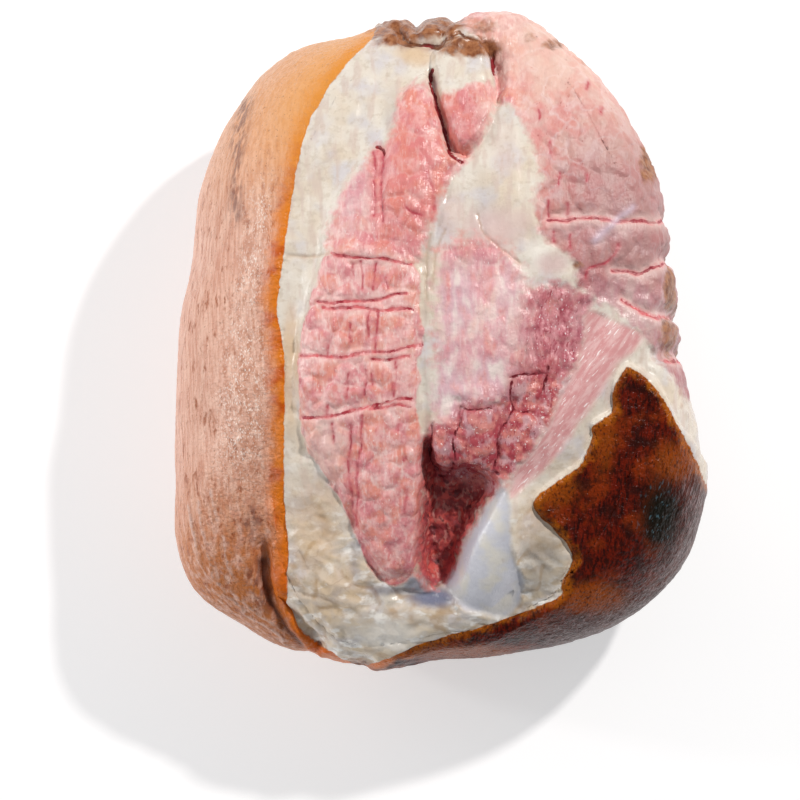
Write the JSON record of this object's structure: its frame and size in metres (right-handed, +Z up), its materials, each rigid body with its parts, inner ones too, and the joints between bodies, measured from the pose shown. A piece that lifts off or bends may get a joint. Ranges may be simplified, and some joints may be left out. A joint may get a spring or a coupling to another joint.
{
  "type": "smoked ham",
  "caption": "Whole boned smoked ham lying on its rind, with the cut face of lean, fat and seams up, string marks and a patch of torn rind.",
  "frame": {"origin": "on the table, under the middle of the ham's outline seen from above", "axes": "+Z up, out of the cut face; +Y along the ham, towards the end with the flap; +X towards the side with the string marks"},
  "size_m": [0.2314, 0.2834, 0.1448],
  "materials": {
    "ham": "moist satin meat, fat and smoked rind"
  },
  "bodies": {
    "root": {"ham": "ham"}
  },
  "joints": []
}
